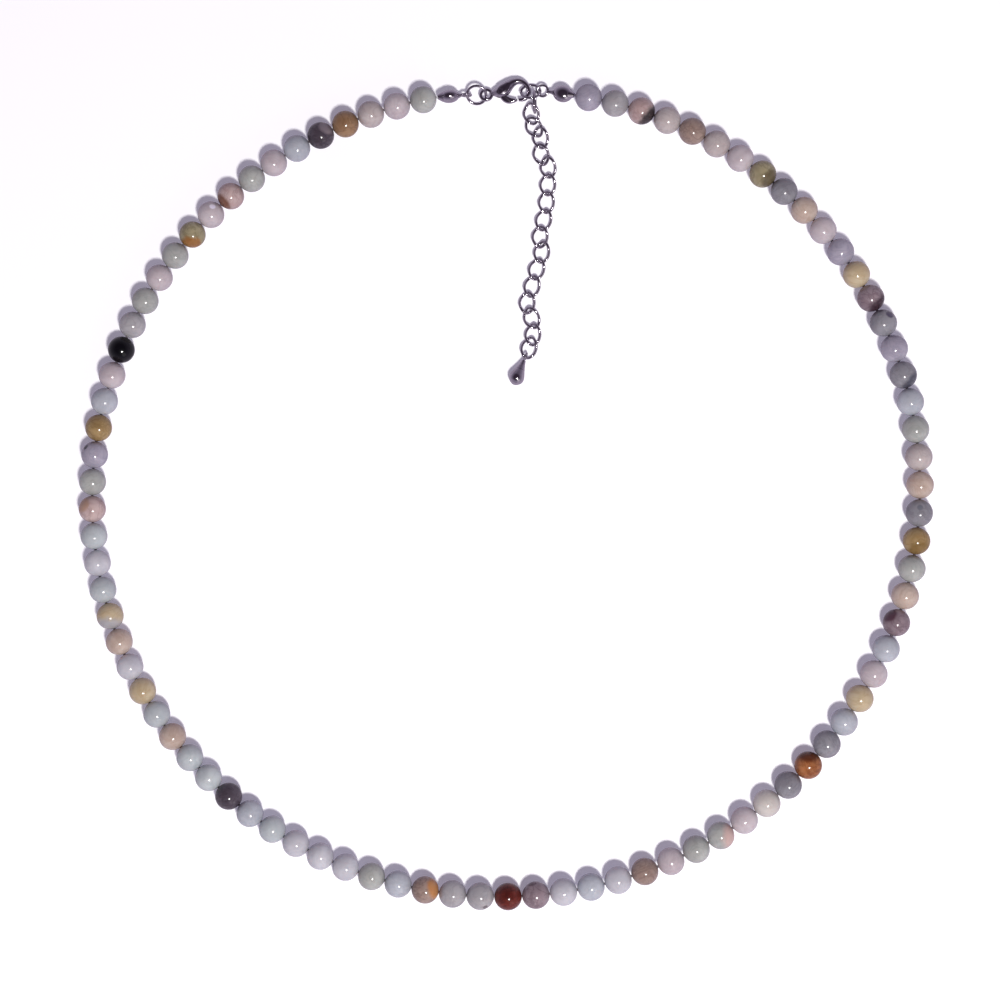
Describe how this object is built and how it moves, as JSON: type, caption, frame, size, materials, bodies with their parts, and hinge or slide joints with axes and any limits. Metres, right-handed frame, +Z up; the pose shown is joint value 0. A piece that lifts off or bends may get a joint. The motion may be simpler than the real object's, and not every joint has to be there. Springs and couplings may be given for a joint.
{
  "type": "beaded necklace",
  "caption": "Round stone bead necklace lying flat and fastened, with clamshell tips, a lobster clasp and an extender chain ending in a teardrop.",
  "frame": {"origin": "bottom centre of the bounding box, on the surface that the necklace lies on", "axes": "+X to the right of the loop seen from above with the clasp at the far side, +Y from the front beads to the clasp, +Z up"},
  "size_m": [0.1404, 0.1366, 0.0045],
  "materials": {
    "pale_stone": "polished",
    "polished_steel": "polished"
  },
  "bodies": {
    "necklace": {"bead_string_left": "pale_stone", "bead_string_right": "pale_stone", "bead_tip_left": "polished_steel", "bead_tip_right": "polished_steel", "jump_ring": "polished_steel", "clasp_body": "polished_steel", "clasp_rivet": "polished_steel", "catch_ring": "polished_steel", "extender_link_00": "polished_steel", "extender_link_01": "polished_steel", "extender_link_02": "polished_steel", "extender_link_03": "polished_steel", "extender_link_04": "polished_steel", "extender_link_05": "polished_steel", "extender_link_06": "polished_steel", "extender_link_07": "polished_steel", "extender_link_08": "polished_steel", "extender_link_09": "polished_steel", "extender_link_10": "polished_steel", "extender_link_11": "polished_steel", "extender_link_12": "polished_steel", "extender_link_13": "polished_steel", "extender_link_14": "polished_steel", "extender_link_15": "polished_steel", "extender_link_16": "polished_steel", "end_drop": "polished_steel"},
    "clasp_lever": {"clasp_lever": "polished_steel"}
  },
  "joints": [
    {"name": "clasp_lever_hinge", "type": "hinge", "parent": "necklace", "child": "clasp_lever", "pos_m": [-0.00039, 0.06591, 0.0011], "axis": [0, 0, 1], "range_deg": [0, 25], "stiffness_Nm_per_rad": 0.002, "springref_deg": -5.73}
  ]
}
